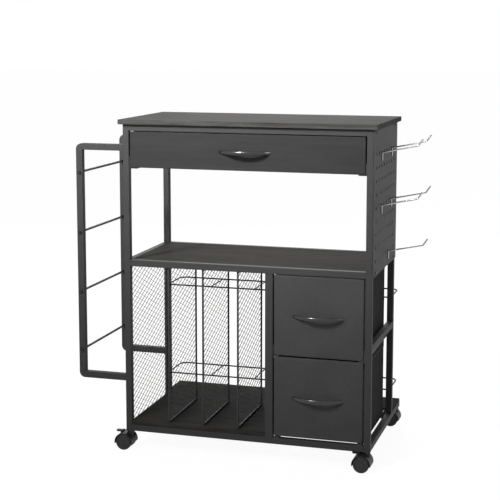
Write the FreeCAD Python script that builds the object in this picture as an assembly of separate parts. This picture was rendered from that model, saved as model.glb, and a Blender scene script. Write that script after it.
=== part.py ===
import FreeCAD, Part
import math
import os
from FreeCAD import Vector

# Rolling craft cart: a frame of square steel tube with a top board, an open shelf, a bag bay with
# mesh dividers, one wide drawer, two fabric drawers, a perforated side panel with hooks, a roll
# holder on the left, wire guards for standing rolls at the rear, and four swivel casters.
#
# X runs to the right, Y to the rear, Z up. While the pieces are built, X = 0 is the outer face of
# the left posts, Y = 0 the front face of the front posts and Z = 0 the underside of the base
# rails. The last step moves them all, so that the origin is the bottom centre of the whole cart.

# Frame
WIDTH = 630.0
DEPTH = 300.0
HEIGHT = 780.0
EXTENSION = 105.0
TUBE = 16.0
TUBE_WALL = 1.0
TUBE_CORNER = 1.5
OVERCUT = 1.0
SHELF_RAIL_TOP = 441.0
SIDE_RAIL_BOTTOM = 245.0
MIDDLE_POST_W = 20.0
BAG_BAY_W = 350.3

# Boards
BOARD = 12.0
BOARD_EDGE = 1.0
BOARD_GAP = 0.5
OVERHANG_SIDE = 10.0
OVERHANG_FRONT = 8.0
OVERHANG_REAR = 12.0
SHELF_DROP = 1.0
LIP_T = 1.5
LIP_W = 12.0
REAR_BOARD = 7.0

# Mesh panels of the bag bay
NET_T = 1.2
NET_STRAND = 2.2
NET_CELL_W = 27.0
NET_CELL_H = 23.0
PANEL_T = 4.0
PANEL_BAR = 5.0
DIVIDERS = 3
DIVIDER_PITCH = 90.3
DIVIDER_FIRST = 114.4
DIVIDER_FRONT = 5.5
DIVIDER_DEPTH = 215.0

# Perforated panel and its hooks
PEG_T = 2.0
PEG_GAP = 0.5
PEG_LAP = 15.0
PEG_BOTTOM = 428.0
PEG_HOLE_R = 4.5
PEG_PITCH = 32.0
PEG_COLUMNS = 8
PEG_ROWS = 9
PEG_FIRST_Y = 30.0
PEG_FIRST_Z = 463.0
PEG_SCREW_R = 3.5
PEG_SCREW_HEAD = 1.8
PEG_SCREW_SHANK_R = 1.9
PEG_SCREW_IN = 15.0
PEG_SCREW_EDGE = 7.5
PEG_SCREW_INSET = 15.0
HOOK_WIRE_R = 2.0
HOOK_REACH = 88.0
HOOK_RISE = 18.0
HOOK_TIP = 20.0
HOOK_TIP_ANGLE = 56.0
HOOK_TAIL = 10.0
HOOK_BEND_R = 5.0
HOOK_TIGHT_R = 2.2
HOOK_CLIP = 20.0
HOOK_CLIP_R = 1.4
# Column and row of the hole that each hook hangs in.
HOOK_PLACES = [(2, 8), (6, 8), (2, 4), (6, 4), (5, 0)]

# Roll holder on the left side
BRACKET_REACH = 126.0
BRACKET_BOTTOM = 130.0
BRACKET_HEIGHT = 600.0
BRACKET_OUTER_R = 15.0
BRACKET_INNER_R = 1.0
ROLL_RODS = 4
ROLL_ROD_R = 3.0
ROLL_ROD_PITCH = 151.7
ROD_HOLE_PLAY = 0.3
NUT_R = 4.6
NUT_T = 4.0
NUT_EDGE = 1.2
NUT_BITE = 3.0

# Wire guards behind the cart
GUARD_LEVELS = {"rear_guard_upper": 323.0, "rear_guard_lower": 77.0}
GUARD_WIRE_R = 2.0
GUARD_CROSS_R = 1.7
GUARD_CORNER_R = 20.0
GUARD_CELLS = 5

# Drawers
FRONT_T = 12.0
FRONT_EDGE = 1.5
FRONT_GAP_SIDE = 3.0
FRONT_GAP_TOP = 1.8
FRONT_GAP_BETWEEN = 4.8
FRONT_GAP_LEDGE = 0.8
TOP_DRAWER_BOTTOM = 672.5
TRAY_WALL = 3.0
TRAY_TOP_GAP = 0.7
TRAY_BACK = 268.0
BIN_WALL = 3.0
BIN_BACK = 264.0
BIN_TOP_GAP = 3.0
SLIDE_GAP = 0.3
DRAWER_SIDE_PLAY = 1.2
RUNNER_T = 2.0
RUNNER_LEG = 30.0
TOP_LEDGE_W = 20.0
BIN_LEDGE_W = 15.0
BIN_LEDGE_T = 3.6
RUNNER_INSET = 2.0
UPPER_BIN_LEDGE_TOP = 224.0
LOWER_BAR_T = 4.0
LOWER_BAR_W = 13.0
LOWER_BAR_INSET = 3.7

# Bow handles
HANDLE_LENGTH = 134.0
HANDLE_REACH = 25.0
HANDLE_BAR = 6.4
HANDLE_TALL = 11.0
HANDLE_END = 0.3
HANDLE_SECTIONS = 13

# Casters
WHEEL_R = 20.0
WHEEL_W = 15.0
WHEEL_EDGE = 2.5
WHEEL_DISH_R = 15.5
WHEEL_DISH = 1.0
AXLE_R = 3.0
AXLE_PLAY = 0.08
AXLE_DEPTH = 12.0
WHEEL_CENTRE_Z = -28.5
CASTER_TRAIL = 12.0
WEB_W = 12.0
WEB_R = 14.0
WHEEL_SIDE_PLAY = 0.5
HOOD_R = 23.5
HOOD_PLAY = 1.2
HOOD_SIDE = 1.5
HOOD_EDGE = 2.0
HOOD_SKIRT = 3.0
BOSS_R = 7.5
STEM_PIN_R = 3.5
STEM_PIN_END = 17.0
STEM_R = 4.0
STEM_UP = 14.0
COLLAR_R = 7.0
COLLAR_T = 2.5
PLUG_LENGTH = 28.0
PLUG_CAP = 2.0
REAR_CASTER_INSET = 10.0

# Brake levers of the front casters
LEVER_BARREL_R = 2.4
LEVER_W = 12.0
LEVER_T = 3.6
LEVER_REACH = 16.0
LEVER_BACK = 9.0
LEVER_LIFT = 2.95
LEVER_EAR_FOOT = 5.5
LEVER_TIP_R = 5.5
LEVER_PIN_R = 1.2
LEVER_EAR_W = 2.5
LEVER_SIDE_PLAY = 0.4

# Places that follow from the sizes above
INNER_LEFT = TUBE
INNER_RIGHT = WIDTH - TUBE
REAR_FRONT = DEPTH - TUBE
BASE_END = DEPTH + EXTENSION
TOP_RAIL_BOTTOM = HEIGHT - TUBE
SHELF_RAIL_BOTTOM = SHELF_RAIL_TOP - TUBE
MIDDLE_LEFT = TUBE + BAG_BAY_W
MIDDLE_RIGHT = MIDDLE_LEFT + MIDDLE_POST_W
SHELF_TOP = SHELF_RAIL_TOP - SHELF_DROP
BAY_FLOOR = TUBE + BOARD
LOWER_BAR_TOP = TUBE + LOWER_BAR_T
WALL_X = WIDTH + PEG_T
SWIVEL_FRONT_Y = TUBE / 2
SWIVEL_REAR_Y = BASE_END - REAR_CASTER_INSET
SWIVELS = {
    "front_left": (TUBE / 2, SWIVEL_FRONT_Y),
    "front_right": (WIDTH - TUBE / 2, SWIVEL_FRONT_Y),
    "rear_left": (TUBE / 2, SWIVEL_REAR_Y),
    "rear_right": (WIDTH - TUBE / 2, SWIVEL_REAR_Y),
}
ROD_X = -BRACKET_REACH + TUBE / 2
ROD_LEVELS = [
    BRACKET_BOTTOM + BRACKET_HEIGHT / 2 + (k - (ROLL_RODS - 1) / 2) * ROLL_ROD_PITCH
    for k in range(ROLL_RODS)
]
DIVIDER_PLACES = [DIVIDER_FIRST + k * DIVIDER_PITCH for k in range(DIVIDERS)]
GUARD_LEFT = TUBE / 2
GUARD_RIGHT = WIDTH - TUBE / 2
GUARD_REAR = BASE_END - GUARD_WIRE_R
GUARD_FRONT = DEPTH - TUBE / 2
GUARD_CROSSES = [
    GUARD_LEFT + (GUARD_RIGHT - GUARD_LEFT) * k / GUARD_CELLS for k in range(1, GUARD_CELLS)
]

AXES = (Vector(1, 0, 0), Vector(0, 1, 0), Vector(0, 0, 1))

parts = {}


def unit(vector):
    """A vector of length 1 the same way."""
    return Vector(vector).normalize()


def block(low, high):
    """A box between two opposite corners."""
    size = Vector(*high) - Vector(*low)
    return Part.makeBox(size.x, size.y, size.z, Vector(*low))


def along(shape, axis):
    """The straight edges of a shape that run along an axis (0, 1 or 2)."""
    found = []
    for edge in shape.Edges:
        run = edge.Vertexes[-1].Point - edge.Vertexes[0].Point
        if run.Length > 0 and Vector(run).cross(AXES[axis]).Length < TUBE_WALL * 0.001:
            found.append(edge)
    return found


def square_tube(axis, low, high):
    """A tube with rounded edges that fills a box and is open at both ends along an axis."""
    outer = block(low, high)
    outer = outer.makeFillet(TUBE_CORNER, along(outer, axis))
    inner_low = [value + TUBE_WALL for value in low]
    inner_high = [value - TUBE_WALL for value in high]
    inner_low[axis] = low[axis] - TUBE_WALL
    inner_high[axis] = high[axis] + TUBE_WALL
    return outer.cut(block(inner_low, inner_high))


def rod(start, end, radius):
    """A round bar from one point to another."""
    start = Vector(*start)
    run = Vector(*end) - start
    return Part.makeCylinder(radius, run.Length, start, run)


def rounded_path(points, radii, closed=False):
    """Straight runs through the points, with a tangent arc at each corner that has a radius."""
    corners = []
    for index, point in enumerate(points):
        free_end = not closed and index in (0, len(points) - 1)
        if radii[index] == 0 or free_end:
            corners.append((point, None, point))
            continue
        back = unit(points[index - 1] - point)
        ahead = unit(points[(index + 1) % len(points)] - point)
        half = back.getAngle(ahead) / 2
        reach = radii[index] / math.tan(half)
        centre = point + unit(back + ahead) * (radii[index] / math.sin(half))
        middle = centre + unit(point - centre) * radii[index]
        corners.append((point + back * reach, middle, point + ahead * reach))
    edges = []
    for index in range(len(points) if closed else len(points) - 1):
        start = corners[index][2]
        following = corners[(index + 1) % len(points)]
        edges.append(Part.LineSegment(start, following[0]).toShape())
        if following[1] is not None:
            edges.append(Part.Arc(*following).toShape())
    return Part.Wire(edges)


def bent_wire(points, bends, radius):
    """A round wire that follows straight runs, with the bend radius given for each point."""
    points = [Vector(*point) for point in points]
    path = rounded_path(points, bends)
    section = Part.Wire(Part.makeCircle(radius, points[0], points[1] - points[0]))
    return path.makePipeShell([section], True, False)


def fused(shapes):
    """One solid from shapes that overlap or share a face."""
    return shapes[0].multiFuse(shapes[1:]).removeSplitter().Solids[0]


def open_box(low, high, wall):
    """A box with walls and a bottom, open at the top."""
    inner_low = [value + wall for value in low]
    inner_high = [high[0] - wall, high[1] - wall, high[2] + wall]
    return block(low, high).cut(block(inner_low, inner_high))


def eased_board(low, high, radius):
    """A board whose edges are all slightly rounded."""
    board = block(low, high)
    return board.makeFillet(radius, board.Edges)


def add(node, *solids):
    """Keeps the solids of one named piece."""
    found = [solid for shape in solids for solid in shape.Solids]
    parts[node] = found[0] if len(found) == 1 else Part.makeCompound(found)


# Posts and rails


def add_posts():
    for side, x in (("left", 0.0), ("right", INNER_RIGHT)):
        front = square_tube(2, (x, 0, 0), (x + TUBE, TUBE, HEIGHT))
        rear = square_tube(2, (x, REAR_FRONT, TUBE), (x + TUBE, DEPTH, HEIGHT))
        add("post_front_" + side, front)
        add("post_rear_" + side, rear)
    middle = [
        square_tube(2, (MIDDLE_LEFT, y, TUBE), (MIDDLE_RIGHT, y + TUBE, SHELF_RAIL_BOTTOM))
        for y in (0.0, REAR_FRONT)
    ]
    add("middle_posts", *middle)


def cross_rail(y, z):
    """A rail from the left posts to the right posts."""
    return square_tube(0, (INNER_LEFT, y, z), (INNER_RIGHT, y + TUBE, z + TUBE))


def side_rail(x, z, start=TUBE, end=REAR_FRONT):
    """A rail from the front to the rear."""
    return square_tube(1, (x, start, z), (x + TUBE, end, z + TUBE))


def shelf_lip(y):
    """The strip welded under the inside of a shelf rail, on which the shelf board rests."""
    top = SHELF_TOP - BOARD
    return block((INNER_LEFT, y, top - LIP_T), (INNER_RIGHT, y + LIP_W, top))


def add_rails():
    add("top_rail_front", cross_rail(0, TOP_RAIL_BOTTOM))
    add("top_rail_rear", cross_rail(REAR_FRONT, TOP_RAIL_BOTTOM))
    add("top_side_rails", side_rail(0, TOP_RAIL_BOTTOM), side_rail(INNER_RIGHT, TOP_RAIL_BOTTOM))
    front = cross_rail(0, SHELF_RAIL_BOTTOM)
    rear = cross_rail(REAR_FRONT, SHELF_RAIL_BOTTOM)
    add("shelf_rail_front", fused([front, shelf_lip(TUBE)]))
    add("shelf_rail_rear", fused([rear, shelf_lip(REAR_FRONT - LIP_W)]))
    add(
        "shelf_side_rails",
        side_rail(0, SHELF_RAIL_BOTTOM),
        side_rail(INNER_RIGHT, SHELF_RAIL_BOTTOM),
    )
    add("base_rail_front", cross_rail(0, 0))
    add("base_rail_middle", cross_rail(REAR_FRONT, 0))
    add("base_rail_rear", cross_rail(BASE_END - TUBE, 0))
    add("base_side_rails", side_rail(0, 0, end=BASE_END), side_rail(INNER_RIGHT, 0, end=BASE_END))
    middle_x = (MIDDLE_LEFT + MIDDLE_RIGHT - TUBE) / 2
    add(
        "drawer_side_rails",
        side_rail(middle_x, SIDE_RAIL_BOTTOM),
        side_rail(INNER_RIGHT, SIDE_RAIL_BOTTOM),
    )


# Boards


def add_boards():
    top = eased_board(
        (-OVERHANG_SIDE, -OVERHANG_FRONT, HEIGHT),
        (WIDTH + OVERHANG_SIDE, DEPTH + OVERHANG_REAR, HEIGHT + BOARD),
        BOARD_EDGE,
    )
    add("top_board", top)
    shelf = eased_board(
        (INNER_LEFT + BOARD_GAP, TUBE + BOARD_GAP, SHELF_TOP - BOARD),
        (INNER_RIGHT - BOARD_GAP, REAR_FRONT - BOARD_GAP, SHELF_TOP),
        BOARD_EDGE,
    )
    add("shelf_board", shelf)
    bay = eased_board(
        (INNER_LEFT + BOARD_GAP, BOARD_GAP, TUBE),
        (MIDDLE_LEFT - BOARD_GAP, DEPTH - BOARD_GAP, BAY_FLOOR),
        BOARD_EDGE,
    )
    add("bay_board", bay)
    rear = eased_board(
        (0, DEPTH + BOARD_GAP, TUBE), (WIDTH, BASE_END, TUBE + REAR_BOARD), BOARD_EDGE
    )
    add("rear_board", rear)


# Mesh panels


def diamond(centre_y, centre_z, half_w, half_h):
    """The outline of one diamond hole in the plane X = 0."""
    corners = [
        Vector(0, centre_y - half_w, centre_z),
        Vector(0, centre_y, centre_z - half_h),
        Vector(0, centre_y + half_w, centre_z),
        Vector(0, centre_y, centre_z + half_h),
    ]
    return Part.makePolygon(corners + corners[:1])


def net(low, high):
    """A flat sheet of expanded metal: two interleaved grids of diamonds fill the rectangle."""
    across = max(1, round((high[0] - low[0]) / NET_CELL_W))
    upward = max(1, round((high[1] - low[1]) / NET_CELL_H))
    half_w = (high[0] - low[0]) / across / 2
    half_h = (high[1] - low[1]) / upward / 2
    shrink = 1 - NET_STRAND / 2 * math.hypot(half_w, half_h) / (half_w * half_h)
    centres = [(i * 2 + 1, j * 2 + 1) for i in range(across) for j in range(upward)]
    centres += [(i * 2, j * 2) for i in range(1, across) for j in range(1, upward)]
    outline = Part.makePolygon(
        [
            Vector(0, low[0], low[1]),
            Vector(0, high[0], low[1]),
            Vector(0, high[0], high[1]),
            Vector(0, low[0], high[1]),
            Vector(0, low[0], low[1]),
        ]
    )
    holes = [
        diamond(low[0] + i * half_w, low[1] + j * half_h, half_w * shrink, half_h * shrink)
        for i, j in centres
    ]
    sheet = Part.Face([outline] + holes)
    sheet.validate()
    return sheet.extrude(Vector(NET_T, 0, 0))


def mesh_panel(x, y0, y1, z0, z1):
    """A flat bar frame round a net, centred on the plane at x."""
    outer = block((x - PANEL_T / 2, y0, z0), (x + PANEL_T / 2, y1, z1))
    inside = (y0 + PANEL_BAR, z0 + PANEL_BAR), (y1 - PANEL_BAR, z1 - PANEL_BAR)
    hole = block((x - PANEL_T, *inside[0]), (x + PANEL_T, *inside[1]))
    sheet = net(*inside)
    sheet.translate(Vector(x - NET_T / 2, 0, 0))
    return fused([outer.cut(hole), sheet])


def add_mesh():
    left = mesh_panel(TUBE / 2, TUBE, REAR_FRONT, TUBE, SHELF_RAIL_BOTTOM)
    add("left_mesh_panel", left)
    for number, x in enumerate(DIVIDER_PLACES, 1):
        rear = DIVIDER_FRONT + DIVIDER_DEPTH
        panel = mesh_panel(x, DIVIDER_FRONT, rear, BAY_FLOOR, SHELF_RAIL_BOTTOM)
        add("bag_divider_%d" % number, panel)


# Perforated panel


def peg_place(column, row):
    """Y and Z of a hole of the perforated panel."""
    return PEG_FIRST_Y + column * PEG_PITCH, PEG_FIRST_Z + row * PEG_PITCH


def add_pegboard():
    low = (TUBE - PEG_LAP, PEG_BOTTOM)
    high = (REAR_FRONT + PEG_LAP, HEIGHT - PEG_GAP)
    outline = Part.makePolygon(
        [
            Vector(WIDTH, low[0], low[1]),
            Vector(WIDTH, high[0], low[1]),
            Vector(WIDTH, high[0], high[1]),
            Vector(WIDTH, low[0], high[1]),
            Vector(WIDTH, low[0], low[1]),
        ]
    )
    places = [peg_place(i, j) for i in range(PEG_COLUMNS) for j in range(PEG_ROWS)]
    holes = [
        Part.Wire(Part.makeCircle(PEG_HOLE_R, Vector(WIDTH, y, z), Vector(1, 0, 0)))
        for y, z in places
    ]
    sheet = Part.Face([outline] + holes)
    sheet.validate()
    sheet = sheet.extrude(Vector(PEG_T, 0, 0))
    screws = []
    for y in (TUBE + PEG_SCREW_INSET, REAR_FRONT - PEG_SCREW_INSET):
        for z in (HEIGHT - PEG_SCREW_EDGE, PEG_BOTTOM + PEG_SCREW_EDGE):
            shank = rod((WALL_X - PEG_SCREW_IN, y, z), (WALL_X, y, z), PEG_SCREW_SHANK_R)
            head = rod((WALL_X, y, z), (WALL_X + PEG_SCREW_HEAD, y, z), PEG_SCREW_R)
            rim = [edge for edge in head.Edges if edge.BoundBox.XMin > WALL_X + PEG_SCREW_HEAD / 2]
            head = head.makeFillet(PEG_SCREW_HEAD / 2, rim)
            screws.append(fused([head, shank]))
            sheet = sheet.cut(shank)
            for node in ("top_side_rails", "shelf_side_rails"):
                add(node, parts[node].cut(shank))
    add("pegboard", sheet)
    add("peg_screws", *screws)


def peg_hook(y, z):
    """A wire hook: tail behind the panel, arm rising outwards, upturned tip and a clip below."""
    tip = math.radians(HOOK_TIP_ANGLE)
    bend = Vector(WALL_X + HOOK_REACH, y, z + HOOK_RISE)
    points = [
        (WIDTH - HOOK_WIRE_R - PEG_GAP, y, z + HOOK_TAIL),
        (WIDTH - HOOK_WIRE_R - PEG_GAP, y, z),
        (WALL_X + HOOK_WIRE_R, y, z),
        tuple(bend),
        tuple(bend + Vector(math.cos(tip), 0, math.sin(tip)) * HOOK_TIP),
    ]
    arm = bent_wire(points, [0, HOOK_TIGHT_R, HOOK_TIGHT_R, HOOK_BEND_R, 0], HOOK_WIRE_R)
    clip_x = WALL_X + HOOK_CLIP_R
    clip = rod((clip_x, y, z - HOOK_CLIP), (clip_x, y, z), HOOK_CLIP_R)
    return fused([arm, clip])


def add_hooks():
    hooks = [peg_hook(*peg_place(column, row)) for column, row in HOOK_PLACES]
    add("peg_hooks", *hooks)


# Roll holder


def bracket_profile(inset, y):
    """The C outline of a bracket in the plane at y, drawn in from the tube's faces by inset."""
    left = -BRACKET_REACH + inset
    inner = -BRACKET_REACH + TUBE - inset
    low = BRACKET_BOTTOM + inset
    high = BRACKET_BOTTOM + BRACKET_HEIGHT - inset
    arm_low = BRACKET_BOTTOM + TUBE - inset
    arm_high = BRACKET_BOTTOM + BRACKET_HEIGHT - TUBE + inset
    places = [
        (0, low),
        (left, low),
        (left, high),
        (0, high),
        (0, arm_high),
        (inner, arm_high),
        (inner, arm_low),
        (0, arm_low),
    ]
    outer_r = BRACKET_OUTER_R - inset
    inner_r = BRACKET_INNER_R + inset
    radii = [0, outer_r, outer_r, 0, 0, inner_r, inner_r, 0]
    points = [Vector(x, y, z) for x, z in places]
    return Part.Face(rounded_path(points, radii, closed=True))


def bracket(y):
    """A square tube bent to a C, with a hole through it for each rod."""
    outer = bracket_profile(0.0, y).extrude(Vector(0, TUBE, 0))
    hollow = bracket_profile(TUBE_WALL, y + TUBE_WALL).extrude(Vector(0, TUBE - 2 * TUBE_WALL, 0))
    tube = outer.cut(hollow)
    for z in ROD_LEVELS:
        start = (ROD_X, y - OVERCUT, z)
        end = (ROD_X, y + TUBE + OVERCUT, z)
        tube = tube.cut(rod(start, end, ROLL_ROD_R + ROD_HOLE_PLAY))
    return tube


def cap_nut(y, z, outwards):
    """A domed nut on the end of a rod; outwards is -1 at the front and 1 at the rear."""
    nut = rod((ROD_X, y, z), (ROD_X, y + outwards * NUT_T, z), NUT_R)
    far = y + outwards * NUT_T
    rim = [edge for edge in nut.Edges if abs(edge.BoundBox.Center.y - far) < NUT_T / 4]
    nut = nut.makeFillet(NUT_EDGE, rim)
    return nut.cut(rod((ROD_X, y, z), (ROD_X, y + outwards * NUT_BITE, z), ROLL_ROD_R))


def add_roll_holder():
    add("roll_bracket_front", bracket(0.0))
    add("roll_bracket_rear", bracket(REAR_FRONT))
    nuts = []
    for number, z in enumerate(ROD_LEVELS, 1):
        start = (ROD_X, -NUT_BITE, z)
        end = (ROD_X, DEPTH + NUT_BITE, z)
        add("roll_rod_%d" % number, rod(start, end, ROLL_ROD_R))
        nuts.append(cap_nut(0.0, z, -1))
        nuts.append(cap_nut(DEPTH, z, 1))
    add("rod_nuts", *nuts)


# Wire guards


def add_guards():
    for node, z in GUARD_LEVELS.items():
        loop = bent_wire(
            [
                (GUARD_LEFT, DEPTH, z),
                (GUARD_LEFT, GUARD_REAR, z),
                (GUARD_RIGHT, GUARD_REAR, z),
                (GUARD_RIGHT, DEPTH, z),
            ],
            [GUARD_CORNER_R] * 4,
            GUARD_WIRE_R,
        )
        fronts = [
            rod((low, GUARD_FRONT, z), (high, GUARD_FRONT, z), GUARD_WIRE_R)
            for low, high in ((INNER_LEFT, MIDDLE_LEFT), (MIDDLE_RIGHT, INNER_RIGHT))
        ]
        crosses = []
        for x in GUARD_CROSSES:
            at_post = MIDDLE_LEFT - GUARD_CROSS_R < x < MIDDLE_RIGHT + GUARD_CROSS_R
            start = DEPTH if at_post else GUARD_FRONT
            cross = rod((x, start, z), (x, GUARD_REAR, z), GUARD_CROSS_R)
            crosses.append(cross.cut([loop] + fronts))
        add(node, loop, *fronts, *crosses)


# Runners


def runner(wall_x, inwards, top, ledge_w, ledge_t):
    """An angle strip: its leg lies on the posts' inner faces and its ledge carries a drawer."""
    leg = sorted([wall_x, wall_x + inwards * RUNNER_T])
    ledge = sorted([wall_x, wall_x + inwards * ledge_w])
    bottom = top - ledge_t
    start, end = RUNNER_INSET, DEPTH - RUNNER_INSET
    upright = block((leg[0], start, bottom), (leg[1], end, bottom + RUNNER_LEG))
    shelf = block((ledge[0], start, bottom), (ledge[1], end, top))
    return fused([upright, shelf])


def add_runners():
    add(
        "top_drawer_runners",
        runner(INNER_LEFT, 1, TOP_DRAWER_BOTTOM, TOP_LEDGE_W, RUNNER_T),
        runner(INNER_RIGHT, -1, TOP_DRAWER_BOTTOM, TOP_LEDGE_W, RUNNER_T),
    )
    add(
        "upper_drawer_runners",
        runner(MIDDLE_RIGHT, 1, UPPER_BIN_LEDGE_TOP, BIN_LEDGE_W, BIN_LEDGE_T),
        runner(INNER_RIGHT, -1, UPPER_BIN_LEDGE_TOP, BIN_LEDGE_W, BIN_LEDGE_T),
    )
    left = MIDDLE_RIGHT + LOWER_BAR_INSET
    right = INNER_RIGHT - LOWER_BAR_INSET
    bars = [
        block((x, 0, TUBE), (x + LOWER_BAR_W, DEPTH, LOWER_BAR_TOP))
        for x in (left, right - LOWER_BAR_W)
    ]
    add("lower_drawer_bars", *bars)


# Drawers


def handle(centre_x, centre_z):
    """A bow handle: a bar along an arc, full in the middle and thin at both ends."""
    half = HANDLE_LENGTH / 2
    bow_r = (half**2 + HANDLE_REACH**2) / (2 * HANDLE_REACH)
    line_r = bow_r - HANDLE_BAR / 2
    centre = Vector(centre_x, bow_r - HANDLE_REACH, centre_z)
    reach = math.asin(half / bow_r) + HANDLE_BAR / bow_r
    sections = []
    for index in range(HANDLE_SECTIONS):
        share = 2 * index / (HANDLE_SECTIONS - 1) - 1
        angle = reach * share
        outwards = Vector(math.sin(angle), -math.cos(angle), 0)
        full = HANDLE_END + (1 - HANDLE_END) * math.sqrt(1 - share**2)
        tall, deep = full * HANDLE_TALL / 2, full * HANDLE_BAR / 2
        middle = centre + outwards * line_r
        tip = middle + Vector(0, 0, tall)
        side = middle + outwards * deep
        sections.append(Part.Wire(Part.Ellipse(tip, side, middle).toShape()))
    bar = Part.makeLoft(sections, True)
    low, high = centre_z - HANDLE_TALL, centre_z + HANDLE_TALL
    room = block((centre_x - 2 * half, -2 * HANDLE_REACH, low), (centre_x + 2 * half, 0, high))
    return bar.common(room)


def drawer(name, left, right, low, high, body):
    """The front, the box and the handle of one drawer, from the front's edges and the box."""
    front = eased_board((left, 0, low), (right, FRONT_T, high), FRONT_EDGE)
    add(name + "_front", front)
    add(name + "_" + body[0], body[1])
    add(name + "_handle", handle((left + right) / 2, (low + high) / 2))


def add_drawers():
    play = RUNNER_T + DRAWER_SIDE_PLAY
    tray_low = TOP_DRAWER_BOTTOM + SLIDE_GAP
    front_high = TOP_RAIL_BOTTOM - FRONT_GAP_TOP
    tray_high = front_high - TRAY_TOP_GAP
    tray = open_box(
        (INNER_LEFT + play, FRONT_T, tray_low),
        (INNER_RIGHT - play, TRAY_BACK, tray_high),
        TRAY_WALL,
    )
    drawer(
        "top_drawer",
        INNER_LEFT + FRONT_GAP_SIDE,
        INNER_RIGHT - FRONT_GAP_SIDE,
        TOP_DRAWER_BOTTOM + FRONT_GAP_LEDGE,
        front_high,
        ("tray", tray),
    )
    left = MIDDLE_RIGHT + FRONT_GAP_SIDE
    right = INNER_RIGHT - FRONT_GAP_SIDE
    upper_front = (UPPER_BIN_LEDGE_TOP + FRONT_GAP_LEDGE, SHELF_RAIL_BOTTOM - FRONT_GAP_TOP)
    lower_front = (LOWER_BAR_TOP + 2 * FRONT_GAP_LEDGE, upper_front[0] - FRONT_GAP_BETWEEN)
    floors = (UPPER_BIN_LEDGE_TOP + SLIDE_GAP, LOWER_BAR_TOP + SLIDE_GAP)
    fronts = (upper_front, lower_front)
    for name, floor, front in zip(("upper_drawer", "lower_drawer"), floors, fronts):
        fabric_bin = open_box(
            (MIDDLE_RIGHT + play, FRONT_T, floor),
            (INNER_RIGHT - play, BIN_BACK, front[1] - BIN_TOP_GAP),
            BIN_WALL,
        )
        drawer(name, left, right, front[0], front[1], ("bin", fabric_bin))


# Casters


def rounded_wheel(radius, edge, y0, y1):
    """A disc on the wheel's axis between two planes, with rounded rims."""
    disc = rod((-CASTER_TRAIL, y0, WHEEL_CENTRE_Z), (-CASTER_TRAIL, y1, WHEEL_CENTRE_Z), radius)
    rims = [rim for rim in disc.Edges if len(rim.Vertexes) == 1]
    return disc.makeFillet(edge, rims)


def on_axle(radius, y0, y1):
    """A plain cylinder on the wheel's axis between two planes."""
    return rod((-CASTER_TRAIL, y0, WHEEL_CENTRE_Z), (-CASTER_TRAIL, y1, WHEEL_CENTRE_Z), radius)


def lever_pivot():
    """X and Z of the brake lever's pin, above the hood."""
    rise = math.sqrt(HOOD_R**2 - LEVER_BACK**2)
    return -CASTER_TRAIL - LEVER_BACK, WHEEL_CENTRE_Z + rise + LEVER_LIFT


def caster_housing(braked):
    """The hooded housing of a twin wheel caster, with the swivel pin on the Z axis."""
    wheel_in = WEB_W / 2
    wheel_out = wheel_in + WHEEL_SIDE_PLAY + WHEEL_W
    hood_half = wheel_out + HOOD_SIDE
    hood = rounded_wheel(HOOD_R, HOOD_EDGE, -hood_half, hood_half)
    reach = 2 * HOOD_R
    keep = block(
        (-CASTER_TRAIL - reach, -reach, WHEEL_CENTRE_Z - HOOD_SKIRT),
        (-CASTER_TRAIL + reach, reach, WHEEL_CENTRE_Z + reach),
    )
    boss = rod((0, 0, WHEEL_CENTRE_Z), (0, 0, -COLLAR_T - SLIDE_GAP), BOSS_R)
    shapes = [hood.common(keep), on_axle(WEB_R, -wheel_in, wheel_in), boss]
    if braked:
        x, z = lever_pivot()
        for side in (-1, 1):
            near = side * (LEVER_W / 2 + LEVER_SIDE_PLAY)
            far = near + side * LEVER_EAR_W
            low, high = sorted([near, far])
            ear = rod((x, low, z), (x, high, z), LEVER_BARREL_R)
            foot = block(
                (x - LEVER_BARREL_R, low, z - LEVER_EAR_FOOT), (x + LEVER_BARREL_R, high, z)
            )
            shapes += [ear, foot]
    body = shapes[0].multiFuse(shapes[1:])
    for side in (-1, 1):
        room = on_axle(WHEEL_R + HOOD_PLAY, side * wheel_in, side * (hood_half + HOOD_EDGE))
        body = body.cut(room)
    body = body.cut(on_axle(AXLE_R + AXLE_PLAY, -hood_half, hood_half))
    bore_low = -STEM_PIN_END - COLLAR_T - SLIDE_GAP
    body = body.cut(rod((0, 0, bore_low), (0, 0, 0), STEM_PIN_R + AXLE_PLAY))
    if braked:
        x, z = lever_pivot()
        body = body.cut(rod((x, -hood_half, z), (x, hood_half, z), LEVER_PIN_R + AXLE_PLAY))
    return body.removeSplitter()


def caster_wheels():
    """Two wheels on one axle."""
    wheel_in = WEB_W / 2 + WHEEL_SIDE_PLAY
    wheel_out = wheel_in + WHEEL_W
    solids = [on_axle(AXLE_R, -wheel_in - AXLE_DEPTH, wheel_in + AXLE_DEPTH)]
    for side in (-1, 1):
        ends = sorted([side * wheel_in, side * wheel_out])
        wheel = rounded_wheel(WHEEL_R, WHEEL_EDGE, *ends)
        wheel = wheel.cut(on_axle(AXLE_R, side * wheel_in, side * (wheel_in + AXLE_DEPTH)))
        dish = on_axle(WHEEL_DISH_R, side * (wheel_out - WHEEL_DISH), side * (wheel_out + OVERCUT))
        solids.append(wheel.cut(dish))
    return solids


def caster_stem():
    """The steel stem: a pin in the housing, a collar under the tube and a shank in the plug."""
    pin = rod((0, 0, -STEM_PIN_END - COLLAR_T), (0, 0, -COLLAR_T), STEM_PIN_R)
    collar = rod((0, 0, -COLLAR_T), (0, 0, 0), COLLAR_R)
    shank = rod((0, 0, 0), (0, 0, STEM_UP), STEM_R)
    return fused([pin, collar, shank])


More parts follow.
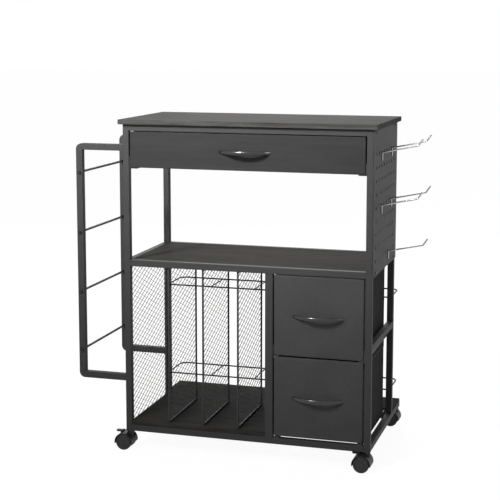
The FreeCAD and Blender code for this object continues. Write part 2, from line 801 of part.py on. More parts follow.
def brake_lever():
    """A short pedal on a cross pin, pointing away from the swivel."""
    x, z = lever_pivot()
    barrel = rod((x, -LEVER_W / 2, z), (x, LEVER_W / 2, z), LEVER_BARREL_R)
    ear_out = LEVER_W / 2 + LEVER_SIDE_PLAY + LEVER_EAR_W
    pin = rod((x, -ear_out, z), (x, ear_out, z), LEVER_PIN_R)
    pedal = block(
        (x - LEVER_REACH, -LEVER_W / 2, z - LEVER_T / 2), (x, LEVER_W / 2, z + LEVER_T / 2)
    )
    tips = [
        edge
        for edge in along(pedal, 2)
        if edge.BoundBox.XMax < x - LEVER_REACH / 2
    ]
    pedal = pedal.makeFillet(LEVER_TIP_R, tips)
    return fused([barrel, pin, pedal])


def moved(shape, x, y):
    """A copy of a shape at a swivel's place."""
    copy = shape.copy()
    copy.translate(Vector(x, y, 0))
    return copy


def add_plugs():
    """Plastic plugs that close the tubes at the casters and hold the stems."""
    inset = TUBE_WALL
    solids = []
    for name, (x, y) in SWIVELS.items():
        low_x = x - TUBE / 2 + inset
        high_x = x + TUBE / 2 - inset
        if name.startswith("front"):
            low = (low_x, inset, 0)
            high = (high_x, TUBE - inset, PLUG_LENGTH)
            shapes = [block(low, high)]
        else:
            low = (low_x, BASE_END - PLUG_LENGTH, inset)
            high = (high_x, BASE_END, TUBE - inset)
            cap = block(
                (x - TUBE / 2, BASE_END, 0), (x + TUBE / 2, BASE_END + PLUG_CAP, TUBE)
            )
            cap = cap.makeFillet(TUBE_CORNER, along(cap, 1))
            shapes = [block(low, high), cap]
        plug = shapes[0] if len(shapes) == 1 else fused(shapes)
        solids.append(plug.cut(rod((x, y, -OVERCUT), (x, y, STEM_UP), STEM_R)))
    add("tube_plugs", *solids)


def add_casters():
    add_plugs()
    stem = caster_stem()
    add("caster_stems", *[moved(stem, x, y) for x, y in SWIVELS.values()])
    for name, (x, y) in SWIVELS.items():
        braked = name.startswith("front")
        add("caster_housing_" + name, moved(caster_housing(braked), x, y))
        add("caster_wheels_" + name, *[moved(solid, x, y) for solid in caster_wheels()])
        if braked:
            add("brake_lever_" + name, moved(brake_lever(), x, y))
        bore = rod((x, y, -OVERCUT), (x, y, STEM_UP), STEM_R)
        if not braked:
            add("base_side_rails", parts["base_side_rails"].cut(bore))


def bottom_centre():
    """The bottom centre of the box round all pieces."""
    box = Part.makeCompound(list(parts.values())).optimalBoundingBox(False, False)
    return Vector((box.XMin + box.XMax) / 2, (box.YMin + box.YMax) / 2, box.ZMin)


add_posts()
add_rails()
add_boards()
add_mesh()
add_pegboard()
add_hooks()
add_roll_holder()
add_guards()
add_runners()
add_drawers()
add_casters()

ORIGIN = bottom_centre()
os.makedirs("parts", exist_ok=True)
for node, shape in parts.items():
    shape.translate(-ORIGIN)
    shape.exportStep("parts/%s.step" % node)
print(len(parts), "pieces; origin in building coordinates:", ORIGIN)
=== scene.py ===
# %% [markdown]
# # A rolling craft cart
#
# The real object is a cart of black powder coated tube with charcoal boards, a bag bay of expanded
# metal, a wide drawer, two drawers of cloth over board, a perforated side, a holder for paper
# rolls and four casters. The model with real sizes is made elsewhere and comes in here as a fixed
# frame. This lesson gives each of its pieces a finish, and models again the ones whose fine
# detail the eye needs: the expanded metal, the cloth drawers and the wheels.

import math

import bmesh
import bpy
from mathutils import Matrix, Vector


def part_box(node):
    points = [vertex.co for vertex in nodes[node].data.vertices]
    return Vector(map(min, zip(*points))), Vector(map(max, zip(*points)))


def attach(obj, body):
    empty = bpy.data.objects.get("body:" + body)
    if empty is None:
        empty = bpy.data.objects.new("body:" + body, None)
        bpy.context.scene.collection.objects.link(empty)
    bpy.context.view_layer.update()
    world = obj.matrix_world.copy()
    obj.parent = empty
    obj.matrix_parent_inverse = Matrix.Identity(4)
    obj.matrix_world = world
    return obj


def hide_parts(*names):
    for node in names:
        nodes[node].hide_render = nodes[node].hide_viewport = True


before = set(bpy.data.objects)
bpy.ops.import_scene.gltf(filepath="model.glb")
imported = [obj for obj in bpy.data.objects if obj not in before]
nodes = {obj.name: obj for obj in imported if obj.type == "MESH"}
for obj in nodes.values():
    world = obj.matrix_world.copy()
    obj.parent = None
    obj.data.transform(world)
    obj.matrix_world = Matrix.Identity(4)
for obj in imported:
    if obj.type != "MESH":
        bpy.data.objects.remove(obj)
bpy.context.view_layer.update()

# %% [markdown]
# ## The camera
#
# The photograph is taken from the front, a little to the right of the cart, with a long lens.
# The camera stands where the posts, rails and boards line up with their pictures. Most of the
# downward look is a tilt, and a small lens shift does the rest, so that upright posts stay
# nearly parallel.

# %% Camera
FRAME_PIXELS = 500
FOCAL_PIXELS = 1284.54
SENSOR = 36.0
CAMERA_PLACE = (0.9024, -3.14199, 1.05851)
CAMERA_TILT = 7.530
CAMERA_AZIMUTH = 16.583
CAMERA_SHIFT_UP = -0.10

bpy.ops.object.select_all(action="DESELECT")
bpy.ops.object.camera_add(
    location=CAMERA_PLACE,
    rotation=(math.radians(90 - CAMERA_TILT), 0, math.radians(CAMERA_AZIMUTH)),
)
camera = bpy.context.object
camera.name = "camera"
camera.data.sensor_width = SENSOR
camera.data.lens = FOCAL_PIXELS / FRAME_PIXELS * SENSOR
camera.data.shift_y = CAMERA_SHIFT_UP
bpy.context.scene.camera = camera
bpy.context.scene.view_settings.view_transform = "Standard"
print("lens", round(camera.data.lens, 1), "mm")

# %% [markdown]
# ## Shader maths that reads like maths
#
# A finish is a small network of nodes. Adding each one by hand makes long scripts, so two small
# classes help: `Shade` wraps one output and turns `+`, `-` and `*` into Math nodes, and `Finish`
# is one material whose `node` method adds any other node.


# %% Shader helpers
class Shade:
    """A number, colour or vector that changes over a surface."""

    def __init__(self, finish, socket):
        self.finish = finish
        self.socket = socket

    def maths(self, operation, first, second):
        settings = {"operation": operation}
        return self.finish.node("ShaderNodeMath", settings, {0: first, 1: second})

    def __add__(self, other):
        return self.maths("ADD", self, other)

    def __radd__(self, other):
        return self.maths("ADD", other, self)

    def __sub__(self, other):
        return self.maths("SUBTRACT", self, other)

    def __rsub__(self, other):
        return self.maths("SUBTRACT", other, self)

    def __mul__(self, other):
        return self.maths("MULTIPLY", self, other)

    def __rmul__(self, other):
        return self.maths("MULTIPLY", other, self)


class Finish:
    """One material: a Principled shader and the nodes that feed it."""

    def __init__(self, name, **fixed):
        self.material = bpy.data.materials.new(name)
        self.material.use_nodes = True
        self.tree = self.material.node_tree
        self.shader = self.tree.nodes["Principled BSDF"]
        self.surface(**fixed)

    def feed(self, socket, value):
        """Links a shade to a socket, or sets the socket to a plain value."""
        if isinstance(value, Shade):
            self.tree.links.new(value.socket, socket)
        else:
            socket.default_value = value

    def node(self, kind, settings, inputs, output=0):
        """Adds one node: its settings first, then the values or links of its sockets."""
        node = self.tree.nodes.new(kind)
        for setting, value in settings.items():
            if setting == "stops":
                ramp = node.color_ramp
                ramp.elements[0].position, ramp.elements[0].color = value[0]
                ramp.elements[1].position, ramp.elements[1].color = value[1]
            else:
                setattr(node, setting, value)
        for socket, value in inputs.items():
            self.feed(node.inputs[socket], value)
        return Shade(self, node.outputs[output])

    def surface(self, **values):
        """Feeds the shader's sockets, which are named in small letters with underscores."""
        sockets = {socket.name.lower().replace(" ", "_"): socket for socket in self.shader.inputs}
        for name, value in values.items():
            self.feed(sockets[name], value)

    def place(self, scale=(1, 1, 1), output="Object"):
        """The point of the surface in metres, stretched by a scale for each axis."""
        point = self.node("ShaderNodeTexCoord", {}, {}, output)
        return self.node("ShaderNodeMapping", {}, {"Vector": point, "Scale": scale})

    def noise(self, place, scale, detail=3.0, roughness=0.55):
        inputs = {"Vector": place, "Scale": scale, "Detail": detail, "Roughness": roughness}
        return self.node("ShaderNodeTexNoise", {}, inputs)

    def soft_step(self, value, low, high):
        """0 below low, 1 above high, and smooth between them."""
        settings = {"interpolation_type": "SMOOTHSTEP"}
        return self.node("ShaderNodeMapRange", settings, {0: value, 1: low, 2: high})

    def between(self, mask, first, second):
        """A colour that goes from the first to the second as the mask goes from 0 to 1."""
        return self.node("ShaderNodeMix", {"data_type": "RGBA"}, {0: mask, 6: first, 7: second}, 2)

    def bump(self, height, distance, strength=1.0):
        inputs = {"Height": height, "Distance": distance, "Strength": strength}
        return self.node("ShaderNodeBump", {}, inputs)


def grey(value, warmth=0.0):
    """A grey whose red is lifted and whose blue is lowered by the warmth."""
    return (value * (1 + warmth), value, value * (1 - warmth), 1.0)


def dress(finish, *names):
    """Gives a finish to frame nodes whose shape is right as it is."""
    for name in names:
        slots = nodes[name].data.materials
        slots.clear()
        slots.append(finish.material)
    print(finish.material.name, "on", len(names), "nodes")


# %% [markdown]
# ## Powder coated steel
#
# The tubes are sprayed with powder and baked. The coat is a dark grey, nearly matt, with a
# fine orange peel that breaks up the reflections, and faint clouds where it is thicker. Two
# noises make this: a very fine one for the peel, which feeds the bump and a little of the
# roughness, and a broad one for the clouds.


# %% Powder coat
COAT_SHINE = 0.08
PEEL_SCALE = 1400.0
CLOUD_SCALE = 9.0


def powder_coat(name, colour, rough, peel=0.00006):
    finish = Finish(name, specular_ior_level=COAT_SHINE)
    grain = finish.noise(finish.place(), PEEL_SCALE)
    clouds = finish.noise(finish.place(), CLOUD_SCALE)
    mask = clouds * 0.7 + grain * 0.3
    tone = finish.between(mask, grey(colour * 0.82), grey(colour * 1.18))
    finish.surface(
        base_color=tone,
        roughness=clouds * 0.12 + grain * 0.10 + (rough - 0.11),
        normal=finish.bump(grain, peel),
    )
    return finish


FRAME_STEEL = [
    "post_front_left",
    "post_front_right",
    "post_rear_left",
    "post_rear_right",
    "middle_posts",
    "top_rail_front",
    "top_rail_rear",
    "top_side_rails",
    "shelf_rail_front",
    "shelf_rail_rear",
    "shelf_side_rails",
    "base_rail_front",
    "base_rail_middle",
    "base_rail_rear",
    "base_side_rails",
    "drawer_side_rails",
    "roll_bracket_front",
    "roll_bracket_rear",
]
tube_coat = powder_coat("powder_coat_tube", 0.043, rough=0.56)
dress(tube_coat, *FRAME_STEEL)
dress(powder_coat("powder_coat_sheet", 0.041, rough=0.56), "pegboard")
runner_coat = powder_coat("powder_coat_runner", 0.046, rough=0.44)
dress(runner_coat, "top_drawer_runners", "upper_drawer_runners", "lower_drawer_bars")
wire_coat = powder_coat("powder_coat_wire", 0.022, rough=0.40, peel=0.00003)
dress(wire_coat, "rear_guard_upper", "rear_guard_lower")
dress(wire_coat, "roll_rod_1", "roll_rod_2", "roll_rod_3", "roll_rod_4")

# %% [markdown]
# ## Charcoal boards
#
# The boards are chipboard under a charcoal foil printed and pressed with wood grain. The grain
# runs along the length of the cart: long, thin streaks of slightly lighter and darker grey, with
# fine pores pressed in. A noise whose space is squeezed across the grain gives the streaks, and
# bending that space with a slow noise keeps them from looking ruled.


# %% Wood foil
FOIL_SHINE = 0.02
DRIFT_STRETCH = (1.2, 6, 6)
STREAK_STRETCH = (2.2, 34, 34)
STREAK_SOFTNESS = 0.22
PORE_STRETCH = (30, 900, 900)
PRESS_DEPTH = 0.00012


def wood_foil(name, dark, light, rough, warmth, contrast=1.0):
    finish = Finish(name, specular_ior_level=FOIL_SHINE)
    drift = finish.noise(finish.place(DRIFT_STRETCH), 2.0, detail=1.0)
    stretched = finish.place(STREAK_STRETCH)
    shifted = finish.node(
        "ShaderNodeVectorMath", {"operation": "ADD"}, {0: stretched, 1: drift}
    )
    streaks = finish.noise(shifted, 3.0, detail=7.0, roughness=0.62)
    pores = finish.noise(finish.place(PORE_STRETCH), 1.0, detail=2.0)
    pore_mask = finish.soft_step(pores, 0.60, 0.72)
    softness = STREAK_SOFTNESS / contrast
    mask = finish.soft_step(streaks, 0.5 - softness, 0.5 + softness)
    tone = finish.between(mask, grey(dark, warmth), grey(light, warmth))
    tone = finish.between(pore_mask * 0.35, tone, grey(dark * 0.6, warmth))
    finish.surface(
        base_color=tone,
        roughness=mask * 0.06 + pore_mask * 0.10 + rough,
        normal=finish.bump(streaks * 0.4 - pore_mask * 0.6, PRESS_DEPTH),
    )
    return finish


top_foil = wood_foil("wood_foil_top", 0.026, 0.060, rough=0.74, warmth=0.02)
# The shelf, bay and rear boards have the same foil as the top board. Their darker copy is painted
# shade for the shade under the top board.
inner_foil_painted_shade = wood_foil("wood_foil_inner", 0.018, 0.040, rough=0.72, warmth=0.04)
front_foil = wood_foil("wood_foil_drawer", 0.026, 0.034, rough=0.56, warmth=0.0, contrast=0.6)
dress(top_foil, "top_board")
dress(inner_foil_painted_shade, "shelf_board", "bay_board", "rear_board")
dress(front_foil, "top_drawer_front", "top_drawer_tray")

# %% [markdown]
# ## Gloss, chrome and plastic
#
# The bow handles are cast and lacquered, so they mirror the lights in a sharp streak. The hooks
# are chromed wire with hairline scratches. Plugs, housings and pedals are moulded plastic with a
# fine spark texture, the bolts and nuts have a black oxide skin, and the turned stems of the
# casters are plated black.


# %% Handle lacquer
FLOW_SCALE = 120.0
handle_gloss = Finish(
    "handle_lacquer", specular_ior_level=0.2, coat_weight=0.7, coat_roughness=0.20
)
flow = handle_gloss.noise(handle_gloss.place(), FLOW_SCALE)
handle_gloss.surface(
    base_color=handle_gloss.between(flow, grey(0.007), grey(0.012)),
    roughness=flow * 0.10 + 0.20,
    normal=handle_gloss.bump(flow, 0.00008),
)
dress(handle_gloss, "top_drawer_handle", "upper_drawer_handle", "lower_drawer_handle")


# %% Chrome wire
HAIRLINE_STRETCH = (60, 1200, 1200)
chrome = Finish("chrome_wire", metallic=1.0)
hairlines = chrome.noise(chrome.place(HAIRLINE_STRETCH), 1.0, detail=2.0)
chrome.surface(
    base_color=chrome.between(hairlines, grey(0.34), grey(0.52)),
    roughness=hairlines * 0.14 + 0.12,
    normal=chrome.bump(hairlines, 0.00002),
)
dress(chrome, "peg_hooks")


# %% Moulded plastic and small steel
PLASTIC_SHINE = 0.2
SPARK_SCALE = 2600.0
SCUFF_SCALE = 60.0
TURNING_STRETCH = (40, 40, 1500)


def moulded(name, colour, rough):
    finish = Finish(name, specular_ior_level=PLASTIC_SHINE)
    spark = finish.noise(finish.place(), SPARK_SCALE, detail=2.0)
    scuffs = finish.noise(finish.place(), SCUFF_SCALE, detail=4.0)
    finish.surface(
        base_color=finish.between(scuffs, grey(colour * 0.85), grey(colour * 1.25)),
        roughness=scuffs * 0.14 + rough - 0.07,
        normal=finish.bump(spark, 0.00004),
    )
    return finish


housing_plastic = moulded("plastic_housing", 0.012, rough=0.46)
dress(housing_plastic, "tube_plugs", *[n for n in nodes if n.startswith("caster_housing")])
lever_plastic = moulded("plastic_lever", 0.010, rough=0.50)
dress(lever_plastic, "brake_lever_front_left", "brake_lever_front_right")
oxide = moulded("black_oxide", 0.018, rough=0.32)
dress(oxide, "rod_nuts", "peg_screws")

stem_steel = Finish("black_zinc_steel", metallic=1.0)
turning = stem_steel.noise(stem_steel.place(TURNING_STRETCH), 1.0, detail=2.0)
stem_steel.surface(
    base_color=stem_steel.between(turning, grey(0.035), grey(0.060)),
    roughness=turning * 0.15 + 0.25,
    normal=stem_steel.bump(turning, 0.00003),
)
dress(stem_steel, "caster_stems")

# %% [markdown]
# ## Modelling helpers
#
# New pieces are modelled as by hand: a primitive, then edit mode. An operator works on all that
# is selected, so each helper first deselects everything. Places are applied to the mesh at once,
# because then a point's coordinates in edit mode are its coordinates in the room.


# %% Modelling helpers
def start_piece(name, operator, scale=(1, 1, 1), **settings):
    """Adds a primitive on its own and puts its place and size in its mesh."""
    bpy.ops.object.select_all(action="DESELECT")
    operator(**settings)
    piece = bpy.context.object
    piece.name = name
    piece.scale = scale
    bpy.ops.object.transform_apply(location=True, rotation=True, scale=True)
    return piece


def start_block(name, low, high):
    """A box between two corners."""
    low, high = Vector(low), Vector(high)
    centre, size = (low + high) / 2, high - low
    cube = bpy.ops.mesh.primitive_cube_add
    return start_piece(name, cube, size=1, location=centre, scale=size)


def edit(piece, mode="FACE"):
    """Opens a piece in edit mode with all of it selected."""
    bpy.ops.object.select_all(action="DESELECT")
    piece.select_set(True)
    bpy.context.view_layer.objects.active = piece
    bpy.ops.object.mode_set(mode="EDIT")
    bpy.ops.mesh.select_mode(type=mode)
    bpy.ops.mesh.select_all(action="SELECT")


def pick(piece, kind, wanted):
    """In edit mode, selects the faces, edges or vertices for which wanted is true."""
    bpy.ops.mesh.select_all(action="DESELECT")
    mesh = bmesh.from_edit_mesh(piece.data)
    found = [element for element in getattr(mesh, kind) if wanted(element)]
    for element in found:
        element.select_set(True)
    mesh.select_flush_mode()
    bmesh.update_edit_mesh(piece.data)
    return len(found)


def close_edit():
    bpy.ops.object.mode_set(mode="OBJECT")


def modify(piece, kind, **settings):
    """Adds a modifier, sets it and applies it."""
    bpy.ops.object.select_all(action="DESELECT")
    piece.select_set(True)
    bpy.context.view_layer.objects.active = piece
    modifier = piece.modifiers.new(kind.lower(), kind)
    for setting, value in settings.items():
        setattr(modifier, setting, value)
    bpy.ops.object.modifier_apply(modifier=modifier.name)


def joined(first, *others):
    """Joins pieces into the first one."""
    bpy.ops.object.select_all(action="DESELECT")
    for piece in (first, *others):
        piece.select_set(True)
    bpy.context.view_layer.objects.active = first
    bpy.ops.object.join()
    return first


def smooth(piece, degrees=35):
    """Shades a piece smooth except at edges sharper than an angle."""
    bpy.ops.object.select_all(action="DESELECT")
    piece.select_set(True)
    bpy.context.view_layer.objects.active = piece
    bpy.ops.object.shade_smooth_by_angle(angle=math.radians(degrees))


def place_on(piece, finish, body, slot, *replaced):
    """Gives a piece its finish, the body it moves with and the nodes it stands for."""
    piece.data.materials.clear()
    piece.data.materials.append(finish.material)
    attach(piece, body)
    if replaced:
        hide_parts(*replaced)
    print(piece.name, len(piece.data.polygons), "faces on", body)


# %% [markdown]
# ## Expanded metal panels
#
# Expanded metal is a sheet that is slit and pulled open, so it has wide, low diamonds and no
# wires that cross. A grid of rectangles becomes that pattern by hand in two steps: poke puts a
# point in the middle of every rectangle and joins it to the corners, and dissolving the
# rectangle's own edges leaves only diamonds. A Wireframe modifier turns each edge into a strand,
# and a stretch across the sheet makes the strands deeper than they are thick, as the slit
# metal is. A flat bar runs round each panel.

# %% Expanded metal
CELL_WIDE = 0.033
CELL_HIGH = 0.014
STRAND = 0.0011
STRAND_DEPTH = 1.6
BAR_WIDE = 0.005
BAR_THICK = 0.004
BAR_EDGE = 0.0006
mesh_coat = powder_coat("powder_coat_mesh", 0.045, rough=0.44, peel=0.00003)


def across_sheet(edge):
    """Whether an inner edge runs straight up or straight back."""
    run = edge.verts[0].co - edge.verts[1].co
    level = min(abs(run.y), abs(run.z)) < 1e-5
    return level and len(edge.link_faces) == 2


def mesh_panel(node):
    low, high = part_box(node)
    centre = (low + high) / 2
    tall, deep = high.z - low.z, high.y - low.y
    upright = (0, math.pi / 2, 0)
    net = start_piece(
        node + "_net",
        bpy.ops.mesh.primitive_grid_add,
        x_subdivisions=round((tall - 2 * BAR_WIDE) / CELL_HIGH),
        y_subdivisions=round((deep - 2 * BAR_WIDE) / CELL_WIDE),
        size=1,
        location=centre,
        rotation=upright,
        scale=(tall - BAR_WIDE, deep - BAR_WIDE, 1),
    )
    edit(net, "EDGE")
    bpy.ops.mesh.poke()
    pick(net, "edges", across_sheet)
    bpy.ops.mesh.dissolve_edges(use_verts=False)
    close_edit()
    modify(net, "WIREFRAME", thickness=STRAND, use_even_offset=False)
    edit(net)
    bpy.ops.transform.resize(value=(STRAND_DEPTH, 1, 1), center_override=centre)
    close_edit()
    bars = start_piece(
        node + "_panel",
        bpy.ops.mesh.primitive_plane_add,
        size=1,
        location=centre,
        rotation=upright,
        scale=(tall, deep, 1),
    )
    edit(bars)
    bpy.ops.mesh.inset(thickness=BAR_WIDE)
    bpy.ops.mesh.delete(type="FACE")
    close_edit()
    modify(bars, "SOLIDIFY", thickness=BAR_THICK, offset=0)
    modify(bars, "BEVEL", width=BAR_EDGE, segments=2)
    smooth(bars)
    place_on(joined(bars, net), mesh_coat, "frame", "mesh_steel", node)


for panel in ("left_mesh_panel", "bag_divider_1", "bag_divider_2", "bag_divider_3"):
    mesh_panel(panel)

# %% [markdown]
# ## Cloth over board
#
# The two lower drawers are boxes of stiff board in a charcoal cloth. The weave is plain: threads
# over and under, about one to the millimetre. Each piece gets its own UV map in metres, from a
# box projection, so that the weave lies straight on every side. Two sine waves across each other
# make the threads, and a noise stretched along them makes some thicker than others.

# %% Drawer cloth
THREADS = 1100.0
SLUB_STRETCH = (900, 60, 1)
SLUB_STRETCH_ACROSS = (60, 900, 1)
FADE_SCALE = 14.0
WEAVE_DEPTH = 0.00018


def cloth(name, dark, light, sheen, shine):
    finish = Finish(name, sheen_weight=sheen, sheen_roughness=0.5, specular_ior_level=shine)
    u, v = [
        finish.node("ShaderNodeSeparateXYZ", {}, {0: finish.place(output="UV")}, axis)
        for axis in ("X", "Y")
    ]
    warp = finish.node("ShaderNodeMath", {"operation": "SINE"}, {0: u * (THREADS * math.pi)})
    weft = finish.node("ShaderNodeMath", {"operation": "SINE"}, {0: v * (THREADS * math.pi)})
    slub = finish.noise(finish.place(SLUB_STRETCH, "UV"), 1.0, detail=2.0)
    slub_across = finish.noise(finish.place(SLUB_STRETCH_ACROSS, "UV"), 1.0, detail=2.0)
    weave = warp * weft * 0.25 + slub * 0.5 + slub_across * 0.5
    clouds = finish.noise(finish.place(), FADE_SCALE)
    mask = finish.soft_step(weave + (clouds - 0.5) * 0.4, 0.2, 0.85)
    finish.surface(
        base_color=finish.between(mask, grey(dark), grey(light)),
        roughness=mask * 0.10 + 0.72,
        normal=finish.bump(weave, WEAVE_DEPTH),
    )
    return finish


drawer_cloth = cloth("drawer_cloth", 0.030, 0.053, sheen=0.15, shine=0.2)
# The box cloth is much darker than the front cloth. This is painted shade for the box sides, which
# stand in the shaded gaps beside the drawers.
lining_cloth = cloth("lining_cloth", 0.007, 0.013, sheen=0.02, shine=0.04)


# %% [markdown]
# The front of each cloth drawer is a board whose edges are rounded by the cloth that wraps
# them. A bevelled block, with a slight crown on its face where the padding under the cloth
# pushes out, comes close. The front face is inset a few times, and each inset brings it forward
# by a share of the crown.

# %% Cloth fronts
WRAP_RADIUS = 0.0020
CROWN = 0.0006
FRONT_INSETS = (0.004, 0.012, 0.02, 0.03)


def lay_cloth(piece):
    """A UV map in metres from the six sides of a box."""
    edit(piece)
    bpy.ops.uv.cube_project(cube_size=1.0, correct_aspect=False)
    close_edit()


def cloth_front(node, body):
    low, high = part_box(node)
    front = start_block(node + "_cloth", (low.x, low.y + CROWN, low.z), high)
    edit(front, "EDGE")
    bpy.ops.mesh.bevel(offset=WRAP_RADIUS, segments=4, affect="EDGES")
    bpy.ops.mesh.select_mode(type="FACE")
    pick(front, "faces", lambda f: f.normal.y < -0.99)
    for inset in FRONT_INSETS:
        bpy.ops.mesh.inset(thickness=inset, depth=CROWN / len(FRONT_INSETS))
    close_edit()
    smooth(front, 60)
    lay_cloth(front)
    place_on(front, drawer_cloth, body, "drawer_fabric", node)


cloth_front("upper_drawer_front", "upper_drawer")
cloth_front("lower_drawer_front", "lower_drawer")

# %% [markdown]
# The box behind each front is board in cloth, open at the top. Its cloth is set much darker than
# the fronts' as painted shade for its sides, which stand in shade in the gaps beside the drawers.
# The cloth pulls the long sides in a little between the corners, and a folded hem with a row of
# stitches runs round the rim. The block loses its top face, its walls get their thickness from
# Solidify, and the hem is a second, slightly larger band.

# %% Cloth boxes
WALL = 0.003
WALL_EDGE = 0.0008
BOX_CUTS = 11
HEM_TALL = 0.018
HEM_OUT = 0.0005
HEM_EDGE = 0.0006
HEM_CUTS = 3
PULL_IN = 0.0011
STITCH = 0.0032
STITCH_GAP = 0.0018
STITCH_STEP = STITCH + STITCH_GAP
STITCH_THICK = 0.0005
STITCH_EDGE = 0.00015
STITCH_UP = 0.003
SIDE_START = 0.012
SIDE_END = 0.008
BACK_END = 0.006


def open_shell(name, low, high, cuts):
    """A box without its top, its faces divided so that they can bend."""
    shell = start_block(name, low, high)
    edit(shell)
    bpy.ops.mesh.subdivide(number_cuts=cuts)
    pick(shell, "faces", lambda f: f.normal.z > 0.9)
    bpy.ops.mesh.delete(type="FACE")
    close_edit()
    return shell


def cloth_box(node, body):
    low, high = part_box(node)
    centre = (low + high) / 2
    box = open_shell(node + "_cloth", low, high, BOX_CUTS)
    half = (high - low) / 2
    for vertex in box.data.vertices:
        away = [(vertex.co[i] - centre[i]) / half[i] for i in range(3)]
        if abs(away[0]) > 0.999 and vertex.co.z > low.z:
            bend = (1 - away[1] ** 2) * (1 - away[2] ** 2)
            vertex.co.x -= math.copysign(PULL_IN, away[0]) * bend
    modify(box, "SOLIDIFY", thickness=WALL, offset=-1)
    modify(box, "BEVEL", width=WALL_EDGE, segments=2)
    smooth(box, 50)
    hem = open_shell(
        node + "_hem",
        (low.x - HEM_OUT, low.y + WALL, high.z - HEM_TALL),
        (high.x + HEM_OUT, high.y + HEM_OUT, high.z),
        HEM_CUTS,
    )
    edit(hem)
    pick(hem, "faces", lambda f: f.normal.z < -0.9 or f.normal.y < -0.9)
    bpy.ops.mesh.delete(type="FACE")
    close_edit()
    modify(hem, "SOLIDIFY", thickness=WALL + 2 * HEM_OUT, offset=-1)
    modify(hem, "BEVEL", width=HEM_EDGE, segments=2)
    smooth(hem, 50)
    whole = joined(box, hem)
    lay_cloth(whole)
    place_on(whole, lining_cloth, body, "drawer_fabric", node)
    return low, high


def stitches(name, low, high, step, length):
    """One rounded block, copied step by step over a length."""
    stitch = start_block(name, low, high)
    modify(stitch, "BEVEL", width=STITCH_EDGE, segments=2)
    modify(
        stitch,
        "ARRAY",
        count=int(length / STITCH_STEP),
        use_relative_offset=False,
        use_constant_offset=True,
        constant_offset_displace=step,
    )
    return stitch


def stitch_row(name, low, high, body):
    """A row of short stitches round three sides of a hem."""
    half = STITCH_THICK / 2
    z = high.z - HEM_TALL + STITCH_UP
    top = z + STITCH_THICK
    rows = []
    for side, x in (("left", low.x - HEM_OUT), ("right", high.x + HEM_OUT)):
        y = low.y + SIDE_START
        length = high.y - low.y - SIDE_START - SIDE_END
        corners = (x - half, y, z), (x + half, y + STITCH, top)
        rows.append(stitches("%s_%s" % (name, side), *corners, (0, STITCH_STEP, 0), length))
    x, y = low.x + BACK_END, high.y + HEM_OUT
    length = high.x - low.x - 2 * BACK_END
    corners = (x, y - half, z), (x + STITCH, y + half, top)
    rows.append(stitches(name + "_back", *corners, (STITCH_STEP, 0, 0), length))
    whole = joined(*rows)
    smooth(whole)
    place_on(whole, thread, body, "drawer_fabric")


PLY_SCALE = 2200.0
thread = Finish("stitch_thread", sheen_weight=0.2)
ply = thread.noise(thread.place(), PLY_SCALE, detail=2.0)
thread.surface(
    base_color=thread.between(ply, grey(0.10), grey(0.17)),
    roughness=ply * 0.1 + 0.6,
    normal=thread.bump(ply, 0.0001),
)
for drawer in ("upper_drawer", "lower_drawer"):
    box_low, box_high = cloth_box(drawer + "_bin", drawer)
    stitch_row(drawer + "_stitches", box_low, box_high, drawer)

# %% [markdown]
# ## Wheels
#
# Each caster has two plain wheels. A real one is moulded with a hub cap that steps in from the
# tyre and out again at the middle. A cylinder becomes that with the inset operator alone: each
# inset makes a narrower ring, and its depth pushes the ring in or out.

# %% Wheels
WHEEL_STEPS = [(0.0030, 0.0), (0.0007, -0.0012), (0.0058, 0.0), (0.0007, 0.0009), (0.0022, 0.0)]
WHEEL_WIDE = 0.015
WHEEL_SIDES = 64
TYRE_EDGE = 0.0024
AXLE_RADIUS = 0.003
AXLE_IN = 0.006
AXLE_SIDES = 24
SIDEWAYS = (math.pi / 2, 0, 0)
wheel_plastic = moulded("wheel_plastic", 0.030, rough=0.42)


def round_rim(edge):
    """Whether an edge of a wheel runs round it and not across it."""
    return abs(edge.verts[0].co.y - edge.verts[1].co.y) < 1e-6


def caster_wheels(name):
    node = "caster_wheels_" + name
    low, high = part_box(node)
    centre = (low + high) / 2
    radius = (high.z - low.z) / 2
    half_track = (high.y - low.y - WHEEL_WIDE) / 2
    wheels = []
    for side in (-1, 1):
        wheel = start_piece(
            "wheel_%s_%d" % (name, len(wheels) + 1),
            bpy.ops.mesh.primitive_cylinder_add,
            vertices=WHEEL_SIDES,
            radius=radius,
            depth=WHEEL_WIDE,
            location=(centre.x, centre.y + side * half_track, centre.z),
            rotation=SIDEWAYS,
        )
        edit(wheel, "EDGE")
        pick(wheel, "edges", round_rim)
        bpy.ops.mesh.bevel(offset=TYRE_EDGE, segments=4, affect="EDGES")
        bpy.ops.mesh.select_mode(type="FACE")
        pick(wheel, "faces", lambda f: len(f.verts) == WHEEL_SIDES)
        for thickness, depth in WHEEL_STEPS:
            bpy.ops.mesh.inset(thickness=thickness, depth=depth)
        close_edit()
        wheels.append(wheel)
    axle = start_piece(
        "axle_" + name,
        bpy.ops.mesh.primitive_cylinder_add,
        vertices=AXLE_SIDES,
        radius=AXLE_RADIUS,
        depth=high.y - low.y - 2 * AXLE_IN,
        location=centre,
        rotation=SIDEWAYS,
    )
    whole = joined(wheels[0], wheels[1], axle)
    whole.name = "wheels_" + name + "_moulded"
    smooth(whole, 40)
    place_on(whole, wheel_plastic, "wheels_" + name, "caster_wheel", node)


for corner in ("front_left", "front_right", "rear_left", "rear_right"):
    caster_wheels(corner)

# %% [markdown]
# ## Floor and light
#
# The cart stands on a plain pale floor in soft light. Two lamps above it, the main one on the
# left and a weaker one on the right, have a narrow spread and light the top board and the upper
# posts. Lamps in front, above and behind, and the pale world, light the rest. For the camera and
# for reflections the floor and the world are white, and a share of the floor's own shading stays,
# so that the shadows under the casters show.

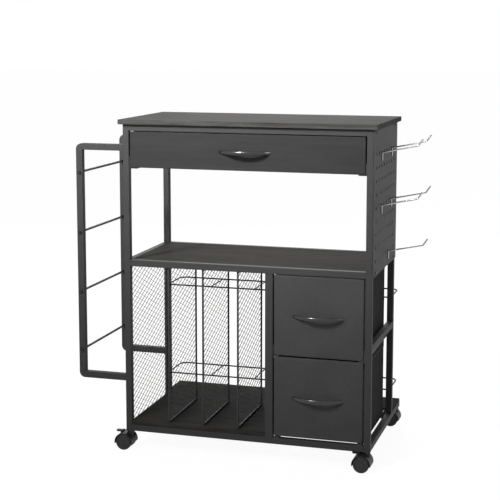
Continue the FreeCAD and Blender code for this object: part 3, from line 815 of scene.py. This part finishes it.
# %% Floor
FLOOR_SIZE = 60.0
FLOOR_WHITE = 0.86
FLOOR_GLOW = 1.10
floor = start_piece("floor", bpy.ops.mesh.primitive_plane_add, size=FLOOR_SIZE)
floor_paint = Finish("floor_paint", base_color=grey(0.80), roughness=0.85)
rays = floor_paint.tree.nodes.new("ShaderNodeLightPath")
seen = Shade(floor_paint, rays.outputs["Is Camera Ray"])
seen = seen + Shade(floor_paint, rays.outputs["Is Glossy Ray"])
seen = (seen + Shade(floor_paint, rays.outputs["Is Transmission Ray"])) * FLOOR_WHITE
glow = floor_paint.node("ShaderNodeEmission", {}, {"Color": grey(1.0), "Strength": FLOOR_GLOW})
lit = Shade(floor_paint, floor_paint.shader.outputs[0])
mixed = floor_paint.node("ShaderNodeMixShader", {}, {0: seen, 1: lit, 2: glow})
output = floor_paint.tree.nodes["Material Output"]
floor_paint.feed(output.inputs["Surface"], mixed)
floor.data.materials.append(floor_paint.material)

# %% World and lamps
WORLD_LIGHT = 0.32
world = bpy.data.worlds.new("studio")
bpy.context.scene.world = world
world.use_nodes = True
tree = world.node_tree
paths = tree.nodes.new("ShaderNodeLightPath")
white = paths.outputs["Is Camera Ray"]
for ray in ("Is Glossy Ray", "Is Transmission Ray"):
    either = tree.nodes.new("ShaderNodeMath")
    either.operation = "MAXIMUM"
    tree.links.new(white, either.inputs[0])
    tree.links.new(paths.outputs[ray], either.inputs[1])
    white = either.outputs[0]
strength = tree.nodes.new("ShaderNodeMapRange")
strength.inputs["To Min"].default_value = WORLD_LIGHT
strength.inputs["To Max"].default_value = 1.0
tree.links.new(white, strength.inputs["Value"])
sky = tree.nodes["Background"]
sky.inputs["Color"].default_value = grey(1.0)
tree.links.new(strength.outputs[0], sky.inputs["Strength"])


def softbox(name, place, aim, size, watts, spread=180):
    """An area lamp, wide and high, that faces a point and lights a cone of a given spread."""
    bpy.ops.object.select_all(action="DESELECT")
    direction = Vector(aim) - Vector(place)
    turn = direction.to_track_quat("-Z", "Y").to_euler()
    bpy.ops.object.light_add(type="AREA", location=place, rotation=turn)
    lamp = bpy.context.object
    lamp.name = name
    lamp.data.shape = "RECTANGLE"
    lamp.data.size, lamp.data.size_y = size
    lamp.data.energy = watts
    lamp.data.spread = math.radians(spread)


softbox("key_lamp", (-1.2, -2.3, 2.5), (-0.12, 0, 1.30), (0.5, 0.5), watts=18, spread=41)
softbox("fill_lamp", (2.5, -1.3, 2.3), (0.1, 0, 1.28), (0.5, 0.5), watts=4, spread=38)
softbox("front_lamp", (-0.9, -2.2, 1.7), (0.1, 0, 0.35), (0.4, 0.4), watts=18)
softbox("top_lamp", (0.2, 0.3, 2.6), (0, 0, 0.6), (1.6, 1.6), watts=3)
softbox("back_lamp", (-0.6, 2.8, 1.8), (0, 0, 0.4), (1.6, 1.6), watts=32)
